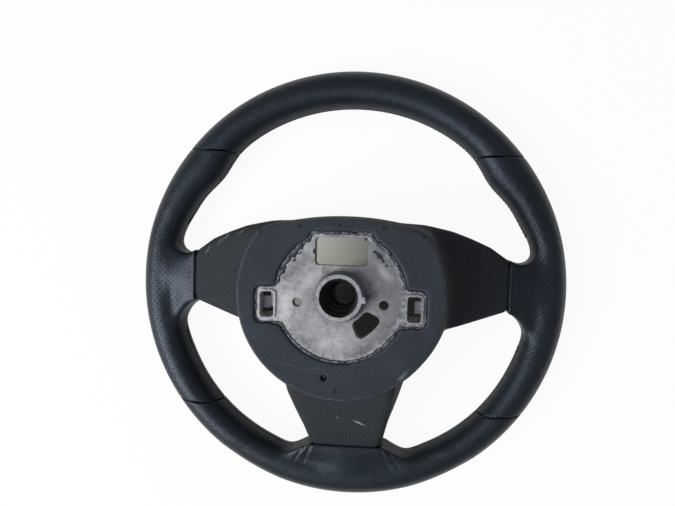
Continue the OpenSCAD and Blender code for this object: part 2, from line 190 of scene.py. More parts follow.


# Casting: hub plate, arms and rim core in one light-alloy die casting. The bare plate is dull and mottled,
# with fine pits, a darker right-hand side, brighter rubbed edges round the openings with a painted
# highlight, and painted shade on the boss.
def only(piece):
    bpy.ops.object.select_all(action="DESELECT")
    piece.select_set(True)
    bpy.context.view_layer.objects.active = piece


def edit_all(piece, operator, **settings):
    only(piece)
    bpy.ops.object.mode_set(mode="EDIT")
    bpy.ops.mesh.select_all(action="SELECT")
    operator(**settings)
    bpy.ops.object.mode_set(mode="OBJECT")


def apply_all(piece):
    only(piece)
    for modifier in list(piece.modifiers):
        bpy.ops.object.modifier_apply(modifier=modifier.name)


def copy_of(node, name):
    piece = frame["nodes"][node].copy()
    piece.data = piece.data.copy()
    piece.name = name
    piece.parent = None
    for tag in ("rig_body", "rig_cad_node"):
        del piece[tag]
    bpy.context.scene.collection.objects.link(piece)
    piece.hide_render = False
    piece.hide_viewport = False
    piece.hide_set(False)
    edit_all(piece, bpy.ops.mesh.remove_doubles, threshold=0.00001)
    return piece


def points_of(piece):
    flat = np.empty(len(piece.data.vertices) * 3, dtype=np.float32)
    piece.data.vertices.foreach_get("co", flat)
    return flat.reshape(-1, 3).astype(float)


def put_points(piece, points):
    piece.data.vertices.foreach_set("co", points.astype(np.float32).ravel())
    piece.data.update()


cast_frame = copy_of("armature", "cast_frame")
bpy.ops.object.shade_smooth_by_angle(angle=math.radians(30))
# the level faces are truly flat, so none of their triangles may show
LEVEL_FACE = 0.999
for face in cast_frame.data.polygons:
    face.use_smooth = abs(face.normal.z) < LEVEL_FACE

# die-cast light alloy: satin skin, cloudy from the flow of the metal and dulled by its oxide, so it
# looks only partly metallic; clouds of about 25 mm with a mottle of 3 mm in them
cast, tree = blank_material("die-cast light alloy")
place = add(tree, "ShaderNodeTexCoord").outputs["Object"]
split = add(tree, "ShaderNodeSeparateXYZ", Vector=place)
cloud = add(tree, "ShaderNodeTexNoise", Vector=place, Scale=40, Detail=5, Roughness=0.5,
            Distortion=0.9)
mottle = add(tree, "ShaderNodeTexNoise", Vector=place, Scale=330, Detail=5, Roughness=0.68)
tone = add(tree, "ShaderNodeMix", {"data_type": "FLOAT"}, in0=0.36, in2=cloud.outputs["Fac"],
           in3=mottle.outputs["Fac"])
ramp = add(tree, "ShaderNodeValToRGB", Fac=tone.outputs[0])
for stop, position, code in zip(ramp.color_ramp.elements, (0.36, 0.64), ("#6a6969", "#b3b1af")):
    stop.position = position
    stop.color = linear(code)
# the right-hand side of the plate is darker grey
side = add(tree, "ShaderNodeVectorMath", {"operation": "DOT_PRODUCT"}, in0=place,
           in1=(1.0, 0.45, 0))
side = add(tree, "ShaderNodeMath", {"operation": "MULTIPLY_ADD"}, in0=cloud.outputs["Fac"], in1=0.05,
           in2=side.outputs["Value"])
side = add(tree, "ShaderNodeMapRange", {"interpolation_type": "SMOOTHSTEP"}, in0=side.outputs[0],
           From_Min=0.005, From_Max=0.075, To_Max=0.6)
colour = add(tree, "ShaderNodeMix", {"data_type": "RGBA"}, in0=side.outputs[0], in6=ramp.outputs["Color"],
             in7=linear("#5c5d60"))
# gas pits, dark specks to the eye: real ones are under 0.5 mm and are drawn at about 1 mm to show
pits = add(tree, "ShaderNodeTexNoise", Vector=place, Scale=750, Detail=2, Roughness=0.5)
pits = add(tree, "ShaderNodeMapRange", in0=pits.outputs["Fac"], From_Min=0.22, From_Max=0.31)
colour = add(tree, "ShaderNodeMix", {"data_type": "RGBA"}, in0=pits.outputs[0], in6=linear("#4b4b4e"),
             in7=colour.outputs[2])
# rim of the plate and raised borders of the hook windows, lighter from rubbing and from a painted highlight
# on their edges
level = add(tree, "ShaderNodeVectorMath", {"operation": "MULTIPLY"}, in0=place, in1=(1, 1, 0))
out = add(tree, "ShaderNodeVectorMath", {"operation": "LENGTH"}, in0=level.outputs[0])
rub_and_glint = add(tree, "ShaderNodeMapRange", in0=out.outputs["Value"], From_Min=0.0445, From_Max=0.0478)
chips = add(tree, "ShaderNodeMapRange", in0=mottle.outputs["Fac"], From_Min=0.46, From_Max=0.56)
rub_and_glint = add(tree, "ShaderNodeMath", {"operation": "MULTIPLY"}, in0=rub_and_glint.outputs[0], in1=chips.outputs[0])
proud = add(tree, "ShaderNodeMapRange", in0=split.outputs["Z"], From_Min=0.0903, From_Max=0.0909,
            To_Max=0.75)
broken = add(tree, "ShaderNodeMapRange", in0=mottle.outputs["Fac"], From_Min=0.38, From_Max=0.56,
             To_Min=0.15)
proud = add(tree, "ShaderNodeMath", {"operation": "MULTIPLY"}, in0=proud.outputs[0], in1=broken.outputs[0])
rub_and_glint = add(tree, "ShaderNodeMath", {"operation": "MAXIMUM"}, in0=rub_and_glint.outputs[0], in1=proud.outputs[0])
rub_and_glint = add(tree, "ShaderNodeMath", {"operation": "MULTIPLY"}, in0=rub_and_glint.outputs[0], in1=0.62)
colour = add(tree, "ShaderNodeMix", {"data_type": "RGBA"}, in0=rub_and_glint.outputs[0], in6=colour.outputs[2],
             in7=linear("#b4b5bb"))
# soft pale smears: place, lean in degrees, half length, half width, strength
smeared = None
for x, y, lean, half_long, half_wide, strength in (
        (-0.0250, 0.0100, 52, 0.0150, 0.0035, 0.35), (-0.0150, 0.0250, 82, 0.0130, 0.0022, 0.4),
        (-0.0400, -0.0100, 80, 0.0120, 0.0045, 0.35), (-0.0060, -0.0360, -8, 0.0230, 0.0080, 0.12),
        (0.0330, 0.0180, -52, 0.0120, 0.0034, 0.3), (0.0240, -0.0430, 25, 0.0120, 0.0030, 0.35)):
    smear = add(tree, "ShaderNodeMapping", {"vector_type": "TEXTURE"}, Vector=level.outputs[0],
                Location=(x, y, 0), Rotation=(0, 0, math.radians(lean)), Scale=(half_long, half_wide, 1))
    smear = add(tree, "ShaderNodeVectorMath", {"operation": "LENGTH"}, in0=smear.outputs[0])
    smear = add(tree, "ShaderNodeMath", {"operation": "MULTIPLY_ADD"}, in0=cloud.outputs["Fac"], in1=-1.6,
                in2=smear.outputs["Value"])
    smear = add(tree, "ShaderNodeMapRange", in0=smear.outputs[0], From_Min=0.45, From_Max=-0.6,
                To_Max=strength)
    if smeared:
        smear = add(tree, "ShaderNodeMath", {"operation": "MAXIMUM"}, in0=smeared, in1=smear.outputs[0])
    smeared = smear.outputs[0]
colour = add(tree, "ShaderNodeMix", {"data_type": "RGBA"}, in0=smeared, in6=colour.outputs[2],
             in7=linear("#d3d2d0"))
# painted shade: the wall of the boss, its foot and the notch beside its key are darker
facing = add(tree, "ShaderNodeNewGeometry")
facing = add(tree, "ShaderNodeSeparateXYZ", Vector=facing.outputs["Normal"])
upright = add(tree, "ShaderNodeMapRange", in0=facing.outputs["Z"], From_Min=0.75, From_Max=0.3, To_Max=0.6)
near = add(tree, "ShaderNodeMath", {"operation": "LESS_THAN"}, in0=out.outputs["Value"], in1=0.0206)
upright = add(tree, "ShaderNodeMath", {"operation": "MULTIPLY"}, in0=upright.outputs[0],
              in1=near.outputs[0])
foot = add(tree, "ShaderNodeMath", {"operation": "SUBTRACT"}, in0=out.outputs["Value"], in1=0.0202)
foot = add(tree, "ShaderNodeMath", {"operation": "ABSOLUTE"}, in0=foot.outputs[0])
foot = add(tree, "ShaderNodeMapRange", in0=foot.outputs[0], From_Min=0.0002, From_Max=0.0005, To_Min=0.45,
           To_Max=0)
notch = add(tree, "ShaderNodeMapping", {"vector_type": "TEXTURE"}, Vector=level.outputs[0],
            Location=(0.0206, 0.0006, 0), Scale=(0.0020, 0.0024, 1))
notch = add(tree, "ShaderNodeVectorMath", {"operation": "LENGTH"}, in0=notch.outputs[0])
notch = add(tree, "ShaderNodeMapRange", in0=notch.outputs["Value"], From_Min=0.85, From_Max=1.1,
            To_Min=0.85, To_Max=0)
shade = add(tree, "ShaderNodeMath", {"operation": "MAXIMUM"}, in0=upright.outputs[0], in1=foot.outputs[0])
shade = add(tree, "ShaderNodeMath", {"operation": "MAXIMUM"}, in0=shade.outputs[0], in1=notch.outputs[0])
colour = add(tree, "ShaderNodeMix", {"data_type": "RGBA"}, in0=shade.outputs[0], in6=colour.outputs[2],
             in7=linear("#484b4f"))
# fine scratches across the lower left
streak = add(tree, "ShaderNodeMapping", Vector=place, Rotation=(0, 0, 1.1), Scale=(1, 14, 1))
streak = add(tree, "ShaderNodeTexNoise", Vector=streak.outputs[0], Scale=95, Detail=4, Roughness=0.6)
streak = add(tree, "ShaderNodeMapRange", in0=streak.outputs["Fac"], From_Min=0.62, From_Max=0.70)
corner = add(tree, "ShaderNodeVectorMath", {"operation": "DISTANCE"}, in0=level.outputs[0],
             in1=(-0.010, -0.032, 0))
corner = add(tree, "ShaderNodeMapRange", in0=corner.outputs["Value"], From_Min=0.012, From_Max=0.03,
             To_Min=0.6, To_Max=0)
streak = add(tree, "ShaderNodeMath", {"operation": "MULTIPLY"}, in0=streak.outputs[0],
             in1=corner.outputs[0])
colour = add(tree, "ShaderNodeMix", {"data_type": "RGBA"}, in0=streak.outputs[0], in6=colour.outputs[2],
             in7=linear("#d4d6dc"))
# grease and painted shade inside the boss, darker below its lip
deep = add(tree, "ShaderNodeMath", {"operation": "LESS_THAN"}, in0=out.outputs["Value"], in1=0.0152)
below = add(tree, "ShaderNodeMapRange", in0=split.outputs["Z"], From_Min=0.0965, From_Max=0.0995,
            To_Min=0.93, To_Max=0)
deep = add(tree, "ShaderNodeMath", {"operation": "MULTIPLY"}, in0=deep.outputs[0], in1=below.outputs[0])
colour = add(tree, "ShaderNodeMix", {"data_type": "RGBA"}, in0=deep.outputs[0], in6=colour.outputs[2],
             in7=linear("#1b1a19"))
# hammered unevenness of the cast skin, then mottle and pits
dents = add(tree, "ShaderNodeTexNoise", Vector=place, Scale=42, Detail=2)
bump = add(tree, "ShaderNodeBump", Height=dents.outputs["Fac"], Distance=0.0035, Strength=0.5)
bump = add(tree, "ShaderNodeBump", Height=mottle.outputs["Fac"], Distance=0.0004, Strength=0.6,
           Normal=bump.outputs["Normal"])
bump = add(tree, "ShaderNodeBump", Height=pits.outputs[0], Distance=0.0002, Strength=0.5,
           Normal=bump.outputs["Normal"])
shine = add(tree, "ShaderNodeBsdfPrincipled", Base_Color=colour.outputs[2], Metallic=0.3, Roughness=0.58,
            Normal=bump.outputs["Normal"])
add(tree, "ShaderNodeOutputMaterial", Surface=shine.outputs[0])
cast_frame.data.materials.clear()
cast_frame.data.materials.append(cast)
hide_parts("armature")
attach(cast_frame, "wheel")

# Bush: a turned and broached steel sleeve with fine splines, pressed into the casting's boss. Old
# grease, in patches of about 1 mm, makes its machined steel dark and half dull.
steel, tree = blank_material("greasy machined steel")
place = add(tree, "ShaderNodeTexCoord").outputs["Object"]
grain = add(tree, "ShaderNodeTexNoise", Vector=place, Scale=900, Detail=3)
rough = add(tree, "ShaderNodeMapRange", in0=grain.outputs["Fac"], To_Min=0.4, To_Max=0.6)
shine = add(tree, "ShaderNodeBsdfPrincipled", Base_Color=linear("#343130"), Metallic=0.7,
            Roughness=rough.outputs[0])
add(tree, "ShaderNodeOutputMaterial", Surface=shine.outputs[0])
node = frame["nodes"]["splined_bush"]
node.data.materials.clear()
node.data.materials.append(steel)

# Catches: two bent strips of spring steel, one in each hook window, whose free end springs back to
# hold a hook. Rolled strip is bright; its fine changes of gloss are drawn at 1.4 mm to show.
spring, tree = blank_material("spring steel strip")
place = add(tree, "ShaderNodeTexCoord").outputs["Object"]
grain = add(tree, "ShaderNodeTexNoise", Vector=place, Scale=700, Detail=3)
rough = add(tree, "ShaderNodeMapRange", in0=grain.outputs["Fac"], To_Min=0.3, To_Max=0.5)
shine = add(tree, "ShaderNodeBsdfPrincipled", Base_Color=linear("#b4b6bb"), Metallic=0.8,
            Roughness=rough.outputs[0])
add(tree, "ShaderNodeOutputMaterial", Surface=shine.outputs[0])
for name in ("catch_left", "catch_right"):
    node = frame["nodes"][name]
    node.data.materials.clear()
    node.data.materials.append(spring)


# Foam body: soft polyurethane foam moulded round the casting, with a fine grained skin. The
# moulding runs from the hub surround down the three spokes and ends under the rim leather. Its
# raised edge round the plate is rubbed, and the spokes are scuffed.
WEIGHT_STEPS = 20


def weigh(piece, name, weights):
    group = piece.vertex_groups.new(name=name)
    levels = np.round(np.clip(weights, 0, 1) * WEIGHT_STEPS).astype(int)
    for level in range(1, WEIGHT_STEPS + 1):
        chosen = np.nonzero(levels == level)[0]
        if len(chosen):
            group.add(chosen.tolist(), level / WEIGHT_STEPS, "REPLACE")


def smooth_out(piece, name, times, where=""):
    flow = piece.modifiers.new(name, "SMOOTH")
    flow.factor = 0.5
    flow.iterations = times
    flow.vertex_group = where


# the line where the foam ends round the bare plate, read from the body just below the plate's face
section = copy_of("foam_body", "opening_line")
edit_all(section, bpy.ops.mesh.bisect, plane_co=(0, 0, 0.0895), plane_no=(0, 0, 1), clear_inner=True,
         clear_outer=True)
spots = points_of(section)[:, :2] * 1000
joined = {index: [] for index in range(len(spots))}
for edge in section.data.edges:
    joined[edge.vertices[0]].append(edge.vertices[1])
    joined[edge.vertices[1]].append(edge.vertices[0])
loop = [int(np.argmin(np.hypot(spots[:, 0], spots[:, 1])))]
while len(loop) <= len(spots):
    ahead = [index for index in joined[loop[-1]] if index not in loop[-2:]]
    if not ahead or ahead[0] == loop[0]:
        break
    loop.append(ahead[0])
bpy.data.objects.remove(section)
outline = spots[loop]
if np.sum(outline[:, 0] * np.roll(outline[:, 1], -1) - np.roll(outline[:, 0], -1) * outline[:, 1]) < 0:
    outline = outline[::-1]
closed = np.vstack([outline, outline[:1]])
run = np.concatenate([[0], np.cumsum(np.hypot(*np.diff(closed, axis=0).T))])
POINT_GAP = 0.6
count = int(run[-1] / POINT_GAP)
steps = np.arange(count) * run[-1] / count
edge_x = np.interp(steps, run, closed[:, 0])
edge_y = np.interp(steps, run, closed[:, 1])
flow_x = np.roll(edge_x, -3) - np.roll(edge_x, 3)
flow_y = np.roll(edge_y, -3) - np.roll(edge_y, 3)
long = np.hypot(flow_x, flow_y)
out_x, out_y = flow_y / long, -flow_x / long
# width of the groove round the plate: wider round the disc than round the tabs
groove = 1.5 + 0.9 * np.clip((52 - np.abs(edge_x)) / 6, 0, 1)


def face_out(piece):
    edit_all(piece, bpy.ops.mesh.normals_make_consistent, inside=False)


def outline_ring(name, fill, levels):
    bpy.ops.object.select_all(action="DESELECT")
    bpy.ops.mesh.primitive_circle_add(vertices=count, radius=0.05, fill_type=fill, location=(0, 0, 0))
    ring = bpy.context.object
    ring.name = name
    bpy.ops.object.mode_set(mode="EDIT")
    bpy.ops.mesh.select_all(action="SELECT")
    for _ in range(levels - 1):
        bpy.ops.mesh.extrude_region_move(TRANSFORM_OT_translate={"value": (0, 0, 0.001)})
    bpy.ops.object.mode_set(mode="OBJECT")
    raw = points_of(ring)
    spot = np.round(np.degrees(np.arctan2(raw[:, 1], raw[:, 0])) % 360 / 360 * count).astype(int) % count
    return ring, spot, np.round(raw[:, 2] * 1000).astype(int)


cutter, spot, layer = outline_ring("groove_cutter", "NGON", 2)
put_points(cutter, np.stack([edge_x[spot] + out_x[spot] * groove[spot],
                             edge_y[spot] + out_y[spot] * groove[spot],
                             np.array([89.2, 95])[layer]], axis=1) / 1000)
face_out(cutter)

moulded = copy_of("foam_body", "moulded_foam")
bpy.ops.object.select_all(action="DESELECT")
bpy.ops.mesh.primitive_cylinder_add(vertices=96, radius=0.147, depth=0.3, location=(0, 0, 0.05))
trimmer = bpy.context.object
only(moulded)
for name, operation, tool in (("trim under leather", "INTERSECT", trimmer),
                              ("groove round plate", "DIFFERENCE", cutter)):
    cut = moulded.modifiers.new(name, "BOOLEAN")
    cut.operation = operation
    cut.solver = "EXACT"
    cut.object = tool
apply_all(moulded)
bpy.data.objects.remove(trimmer)
bpy.data.objects.remove(cutter)
remesh = moulded.modifiers.new("even skin", "REMESH")
remesh.mode = "VOXEL"
remesh.voxel_size = 0.00105
apply_all(moulded)
# the hub runs into the spokes in soft hollows, and into its upper shoulders
xyz = points_of(moulded) * 1000
out = np.hypot(xyz[:, 0], xyz[:, 1])
blend = (np.clip((out - 79) / 3, 0, 1) * np.clip((118 - out) / 14, 0, 1)
         * np.clip((74 - xyz[:, 2]) / 10, 0, 1))
shoulder = (np.clip((xyz[:, 1] - 46) / 4, 0, 1) * np.clip((np.abs(xyz[:, 0]) - 28) / 8, 0, 1)
            * np.clip((84 - xyz[:, 2]) / 8, 0, 1) * np.clip((90 - np.abs(xyz[:, 0])) / 10, 0, 1))
weigh(moulded, "blends", np.maximum(blend, shoulder))
smooth_out(moulded, "take out steps", 4)
smooth_out(moulded, "spoke blends", 100, "blends")
thin = moulded.modifiers.new("fewer facets", "DECIMATE")
thin.ratio = 0.42
apply_all(moulded)
bpy.ops.object.shade_smooth()
# how much each point of the raised edge is rubbed: most where it rolls over
facing = np.empty(len(moulded.data.vertices) * 3, dtype=np.float32)
moulded.data.vertices.foreach_get("normal", facing)
facing = facing.reshape(-1, 3)[:, 2]
xyz = points_of(moulded) * 1000
out = np.hypot(xyz[:, 0], xyz[:, 1])
rolled = np.clip(1 - np.abs(facing - 0.72) / 0.26, 0, 1) * np.clip((xyz[:, 2] - 88.6) / 1.2, 0, 1)
rolled = rolled * (out > 48)
rubbed = moulded.data.attributes.new("rubbed_edge", "FLOAT", "POINT")
rubbed.data.foreach_set("value", rolled.astype(np.float32))

# polyurethane skin: almost matt, dark slate, with a pressed grain and dust lying in it
foam, tree = blank_material("moulded soft foam skin")
place = add(tree, "ShaderNodeTexCoord").outputs["Object"]
split = add(tree, "ShaderNodeSeparateXYZ", Vector=place)
flat_place = add(tree, "ShaderNodeVectorMath", {"operation": "MULTIPLY"}, in0=place,
                 in1=(1, 1, 0))
cloud = add(tree, "ShaderNodeTexNoise", Vector=place, Scale=24, Detail=6, Roughness=0.65)
ramp = add(tree, "ShaderNodeValToRGB", Fac=cloud.outputs["Fac"])
for stop, position, code in zip(ramp.color_ramp.elements, (0.3, 0.7), ("#282d35", "#313840")):
    stop.position = position
    stop.color = linear(code)
# the face is painted bluer and lighter than the walls and spokes below it: a painted sky reflection on the
# face and painted shade below
low = add(tree, "ShaderNodeMapRange", in0=split.outputs["Z"], From_Min=0.083, From_Max=0.0885)
colour = add(tree, "ShaderNodeMix", {"data_type": "RGBA"}, in0=low.outputs[0], in6=linear("#22262a"),
             in7=ramp.outputs["Color"])
# pressed grain: the real one is finer than 1 mm and is drawn at 1.5 mm so that it shows
fine = add(tree, "ShaderNodeTexNoise", Vector=place, Scale=1100, Detail=2, Roughness=0.6)
cells = add(tree, "ShaderNodeTexVoronoi", {"feature": "SMOOTH_F1"}, Vector=place, Scale=640)
valley = add(tree, "ShaderNodeMapRange", in0=cells.outputs["Distance"], From_Min=0.25, From_Max=0.75,
             To_Max=0.3)
colour = add(tree, "ShaderNodeMix", {"data_type": "RGBA"}, in0=valley.outputs[0], in6=colour.outputs[2],
             in7=linear("#181b20"))
dust = add(tree, "ShaderNodeMapRange", in0=fine.outputs["Fac"], From_Min=0.56, From_Max=0.74, To_Max=0.28)
colour = add(tree, "ShaderNodeMix", {"data_type": "RGBA"}, in0=dust.outputs[0], in6=colour.outputs[2],
             in7=linear("#6b7178"))
# rubbed edge of the raised face
worn = add(tree, "ShaderNodeAttribute", {"attribute_name": "rubbed_edge"})
patchy = add(tree, "ShaderNodeTexNoise", Vector=place, Scale=85, Detail=5, Roughness=0.7)
patchy = add(tree, "ShaderNodeMapRange", in0=patchy.outputs["Fac"], From_Min=0.36, From_Max=0.58,
             To_Max=0.8)
worn = add(tree, "ShaderNodeMath", {"operation": "MULTIPLY"}, in0=worn.outputs["Fac"],
           in1=patchy.outputs[0])
colour = add(tree, "ShaderNodeMix", {"data_type": "RGBA"}, in0=worn.outputs[0], in6=colour.outputs[2],
             in7=linear("#5a5e60"))
# pale scuffs: place, lean in degrees, half length, half width, strength
scuffs = [(-0.1204, 0.0289, 52, 0.0034, 0.0008, 0.35), (-0.1086, 0.0368, 62, 0.0030, 0.0006, 0.5),
          (-0.1045, 0.0392, 52, 0.0034, 0.0007, 0.45), (-0.1019, 0.0411, 55, 0.0036, 0.0006, 0.5),
          (-0.0885, 0.0449, 34, 0.0046, 0.0007, 0.35), (0.0140, -0.1085, -28, 0.0050, 0.0009, 1.0),
          (0.0122, -0.1070, -36, 0.0030, 0.0013, 0.7), (-0.0042, -0.1025, -52, 0.0024, 0.0006, 0.6),
          (0.0489, -0.0577, 45, 0.0055, 0.0018, 0.4), (-0.0370, -0.0530, -14, 0.0150, 0.0004, 0.16),
          (-0.0210, -0.0555, 8, 0.0110, 0.0004, 0.14)]
rough_edge = add(tree, "ShaderNodeTexNoise", Vector=place, Scale=420, Detail=4, Roughness=0.7)
ragged = add(tree, "ShaderNodeMapRange", in0=rough_edge.outputs["Fac"], From_Min=0.35, From_Max=0.65,
             To_Min=-0.55, To_Max=0.55)
scuffed = None
for x, y, lean, half_long, half_wide, strength in scuffs:
    spot = add(tree, "ShaderNodeMapping", {"vector_type": "TEXTURE"}, Vector=flat_place.outputs[0],
               Location=(x, y, 0), Rotation=(0, 0, math.radians(lean)), Scale=(half_long, half_wide, 1))
    spot = add(tree, "ShaderNodeVectorMath", {"operation": "LENGTH"}, in0=spot.outputs[0])
    spot = add(tree, "ShaderNodeMath", {"operation": "ADD"}, in0=spot.outputs["Value"],
               in1=ragged.outputs[0])
    spot = add(tree, "ShaderNodeMapRange", in0=spot.outputs[0], From_Min=1.15, From_Max=0.35,
               To_Max=strength)
    if scuffed:
        spot = add(tree, "ShaderNodeMath", {"operation": "MAXIMUM"}, in0=scuffed, in1=spot.outputs[0])
    scuffed = spot.outputs[0]
top_skin = add(tree, "ShaderNodeMapRange", in0=split.outputs["Z"], From_Min=0.028, From_Max=0.032)
scuffed = add(tree, "ShaderNodeMath", {"operation": "MULTIPLY"}, in0=scuffed, in1=top_skin.outputs[0])
colour = add(tree, "ShaderNodeMix", {"data_type": "RGBA"}, in0=scuffed.outputs[0], in6=colour.outputs[2],
             in7=linear("#8b8f92"))
# small round moulding marks along the top of the face and one near its lower edge, painted near black as
# the shade in their dimples
nearest = None
for x, y in ((-0.061, 0.0465), (-0.0315, 0.0517), (-0.001, 0.0535), (0.0315, 0.0517), (0.061, 0.0465),
             (-0.0016, -0.0714)):
    gap = add(tree, "ShaderNodeVectorMath", {"operation": "DISTANCE"}, in0=flat_place.outputs[0],
              in1=(x, y, 0))
    if nearest:
        gap = add(tree, "ShaderNodeMath", {"operation": "MINIMUM"}, in0=nearest, in1=gap.outputs["Value"])
        nearest = gap.outputs[0]
    else:
        nearest = gap.outputs["Value"]
mark = add(tree, "ShaderNodeMapRange", {"interpolation_type": "SMOOTHSTEP"}, in0=nearest, From_Min=0.0007,
           From_Max=0.0020, To_Min=0.9, To_Max=0)
mark = add(tree, "ShaderNodeMath", {"operation": "MULTIPLY"}, in0=mark.outputs[0], in1=low.outputs[0])
ring = add(tree, "ShaderNodeMath", {"operation": "SUBTRACT"}, in0=nearest, in1=0.0021)
ring = add(tree, "ShaderNodeMath", {"operation": "ABSOLUTE"}, in0=ring.outputs[0])
ring = add(tree, "ShaderNodeMapRange", {"interpolation_type": "SMOOTHSTEP"}, in0=ring.outputs[0],
           From_Max=0.0007, To_Min=1, To_Max=0)
colour = add(tree, "ShaderNodeMix", {"data_type": "RGBA"}, in0=mark.outputs[0], in6=colour.outputs[2],
             in7=linear("#0d0f12"))
# painted shade inside the deep round hole
bore = add(tree, "ShaderNodeVectorMath", {"operation": "DISTANCE"}, in0=flat_place.outputs[0],
           in1=(-0.0107, -0.0620, 0))
bore = add(tree, "ShaderNodeMapRange", in0=bore.outputs["Value"], From_Min=0.0025, From_Max=0.0029)
colour = add(tree, "ShaderNodeMix", {"data_type": "RGBA"}, in0=bore.outputs[0], in6=linear("#050607"),
             in7=colour.outputs[2])
bump = add(tree, "ShaderNodeBump", Height=cells.outputs["Distance"], Distance=0.0003, Strength=0.6)
bump = add(tree, "ShaderNodeBump", Height=fine.outputs["Fac"], Distance=0.00022, Strength=0.5,
           Normal=bump.outputs["Normal"])
bump = add(tree, "ShaderNodeBump", Height=ring.outputs[0], Distance=0.0003, Strength=0.5,
           Normal=bump.outputs["Normal"])
shine = add(tree, "ShaderNodeBsdfPrincipled", Base_Color=colour.outputs[2], Roughness=0.78,
            Specular_IOR_Level=0.35, Normal=bump.outputs["Normal"])
add(tree, "ShaderNodeOutputMaterial", Surface=shine.outputs[0])
moulded.data.materials.clear()
moulded.data.materials.append(foam)
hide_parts("foam_body")
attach(moulded, "wheel")


# Torn flash: where the foam met the bare plate, a ragged skin of foam is left round the plate's
# outline, with wider scraps at the upper left and loose flakes stuck to the metal.
draw = np.random.default_rng(7)


def ragged_line(count, grain):
    coarse = draw.random(max(int(count / grain), 4))
    where = np.linspace(0, len(coarse), count, endpoint=False)
    return np.interp(where, np.arange(len(coarse) + 1), np.append(coarse, coarse[0]))


wide = 0.25 + 0.55 * ragged_line(count, 5) ** 2 + 0.3 * ragged_line(count, 2)
turn = np.degrees(np.arctan2(edge_y, edge_x))
# wider scraps: middle and half spread in degrees, extra width in mm
for middle, reach, extra in ((157, 4.5, 4.6), (147, 4, 2.6), (138, 5, 4.8), (130, 4, 3.6),
                             (167, 2.5, 2.4), (121, 3, 2.0), (52, 5, 1.3), (40, 4, 1.0), (20, 4, 0.8),
                             (-52, 7, 1.0), (-38, 5, 0.9), (-120, 8, 0.6), (76, 4, 0.7), (100, 5, 0.8)):
    near = np.clip(1 - np.abs(turn - middle) / reach, 0, 1)
    wide += extra * np.sqrt(near) * (0.4 + 0.6 * ragged_line(count, 2.4))
outer = groove - 1.0 - 0.35 * ragged_line(count, 3)
flash, spot, layer = outline_ring("torn_flash", "NOTHING", 6)
wide, outer = wide[spot], outer[spot]
inward = np.select([layer == 0, layer == 1, layer == 2, layer == 3, layer == 4],
                   [-outer - 0.15, -outer, -0.5 * outer, 0 * wide, 0.55 * wide], wide)
lift = np.array([89.1, 90.0, 90.5, 90.45, 90.3, 90.05])[layer]
lift = lift + 0.55 * (draw.random(len(layer)) - 0.4) * ((layer > 0) & (layer < 5))
put_points(flash, np.stack([edge_x[spot] - out_x[spot] * inward, edge_y[spot] - out_y[spot] * inward,
                            lift], axis=1) / 1000)
scrap = flash.data.attributes.new("scrap", "FLOAT", "POINT")
scrap.data.foreach_set("value", (inward > 0.25).astype(np.float32))
# loose flakes: place, half length and half width in mm, lean in degrees
scraps = [(25.4, 33.8, 2.4, 1.1, -28), (28.6, 31.0, 3.3, 1.5, -46), (31.0, 27.6, 1.6, 0.8, -60),
          (17.9, 43.2, 1.3, 0.9, 20), (-20.6, 33.2, 0.9, 2.2, 5), (-35.4, 26.0, 1.5, 0.9, 48),
          (-31.0, 31.6, 1.2, 0.7, 30), (33.9, 24.2, 1.1, 0.6, -60)]
for x, y, half_long, half_wide, lean in scraps:
    bpy.ops.object.select_all(action="DESELECT")
    bpy.ops.mesh.primitive_circle_add(vertices=18, radius=1, fill_type="NGON", location=(0, 0, 0))
    flake = bpy.context.object
    dark = flake.data.attributes.new("scrap", "FLOAT", "POINT")
    dark.data.foreach_set("value", np.ones(18, dtype=np.float32))
    raw = points_of(flake)
    size = 0.62 + 0.55 * draw.random(18)
    c, s = math.cos(math.radians(lean)), math.sin(math.radians(lean))
    along, across = raw[:, 0] * size * half_long, raw[:, 1] * size * half_wide
    put_points(flake, np.stack([x + along * c - across * s, y + along * s + across * c,
                                90.12 + 0.25 * draw.random(18)], axis=1) / 1000)
    only(flake)
    flash.select_set(True)
    bpy.context.view_layer.objects.active = flash
    bpy.ops.object.join()
edit_all(flash, bpy.ops.mesh.quads_convert_to_tris)
face_out(flash)
body = flash.modifiers.new("skin thickness", "SOLIDIFY")
body.thickness = 0.0003
body.offset = 0
apply_all(flash)
face_out(flash)
bpy.ops.object.shade_smooth_by_angle(angle=math.radians(40))

# torn skin: matt, pale where its cut edge curls up and dark where it lies flat
torn, tree = blank_material("torn foam skin")
place = add(tree, "ShaderNodeTexCoord").outputs["Object"]
frayed = add(tree, "ShaderNodeTexNoise", Vector=place, Scale=380, Detail=5, Roughness=0.7)
ramp = add(tree, "ShaderNodeValToRGB", Fac=frayed.outputs["Fac"])
for stop, position, code in zip(ramp.color_ramp.elements, (0.40, 0.66), ("#23272d", "#8d9196")):
    stop.position = position
    stop.color = linear(code)
lying = add(tree, "ShaderNodeAttribute", {"attribute_name": "scrap"})
colour = add(tree, "ShaderNodeMix", {"data_type": "RGBA"}, in0=lying.outputs["Fac"],
             in6=ramp.outputs["Color"], in7=linear("#2b3036"))
bump = add(tree, "ShaderNodeBump", Height=frayed.outputs["Fac"], Distance=0.0004, Strength=0.8)
shine = add(tree, "ShaderNodeBsdfPrincipled", Base_Color=colour.outputs[2], Roughness=0.85,
            Specular_IOR_Level=0.3, Normal=bump.outputs["Normal"])
add(tree, "ShaderNodeOutputMaterial", Surface=shine.outputs[0])
flash.data.materials.append(torn)
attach(flash, "wheel")


# Rim leather: four panels of thin hide wrapped round the foam and drawn together by a stitched
# seam along the inside of the rim. Each panel's edges turn down into a narrow groove.
# in mm: the wheel's radius, the height of the rim's middle, the radius of its crest, and the radius
# and step at which the blank of a panel is spun
WHEEL_RADIUS = round(cad_box[1][1] * 1000)
RIM_MIDDLE = 16.5
CREST = 169
SPIN_RADIUS = 170
STEP_ALONG = 1.2


